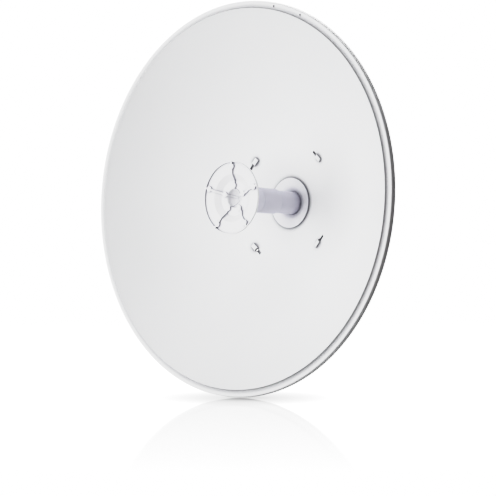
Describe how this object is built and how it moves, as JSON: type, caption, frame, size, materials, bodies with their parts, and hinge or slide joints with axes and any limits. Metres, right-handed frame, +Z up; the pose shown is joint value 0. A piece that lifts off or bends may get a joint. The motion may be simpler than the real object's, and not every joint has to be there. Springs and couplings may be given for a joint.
{
  "type": "parabolic dish antenna",
  "caption": "Round parabolic microwave dish with a rolled rim, a front feed with a ribbed splash plate, and a tilting bracket that clamps to a pole.",
  "frame": {"origin": "middle of the flat rear face of the pole bracket, where the pole bears", "axes": "+Y back along the boresight, out of the pole bracket's face; the dish looks along -Y; +Z up"},
  "size_m": [0.6504, 0.3393, 0.6504],
  "materials": {
    "dish_paint": "white powder coat on pressed sheet metal",
    "feed_plastic": "white moulded plastic, satin",
    "splash_plate_plastic": "white moulded plastic, low gloss",
    "galvanised_steel": "hot dip galvanised, dull spangle",
    "zinc_bolt": "zinc plated",
    "connector_metal": "plated brass"
  },
  "bodies": {
    "root": {"reflector": "dish_paint", "feed_base_flange": "feed_plastic", "feed_tube_rear": "feed_plastic", "feed_tube_front": "feed_plastic", "splash_plate_collar": "feed_plastic", "splash_plate": "splash_plate_plastic", "splash_plate_rib_1": "splash_plate_plastic", "splash_plate_rib_2": "splash_plate_plastic", "splash_plate_rib_3": "splash_plate_plastic", "splash_plate_rib_4": "splash_plate_plastic", "splash_plate_rib_5": "splash_plate_plastic", "hub_spacer": "feed_plastic", "hub_plate": "galvanised_steel", "feed_ring_nut": "feed_plastic", "feed_rear_body": "feed_plastic", "feed_connector_left": "connector_metal", "feed_connector_right": "connector_metal", "tilt_arm_left": "galvanised_steel", "tilt_arm_right": "galvanised_steel", "pole_bracket": "galvanised_steel", "pole_clamp_upper": "galvanised_steel", "pole_clamp_lower": "galvanised_steel", "hub_bolt_upper_left": "zinc_bolt", "hub_bolt_upper_right": "zinc_bolt", "hub_bolt_lower_left": "zinc_bolt", "hub_bolt_lower_right": "zinc_bolt", "pivot_bolt_left": "zinc_bolt", "pivot_bolt_right": "zinc_bolt", "tilt_lock_bolt_left": "zinc_bolt", "tilt_lock_bolt_right": "zinc_bolt", "clamp_bolt_upper_left": "zinc_bolt", "clamp_bolt_upper_right": "zinc_bolt", "clamp_bolt_lower_left": "zinc_bolt", "clamp_bolt_lower_right": "zinc_bolt", "clamp_nut_upper_left": "zinc_bolt", "clamp_nut_upper_right": "zinc_bolt", "clamp_nut_lower_left": "zinc_bolt", "clamp_nut_lower_right": "zinc_bolt"}
  },
  "joints": []
}
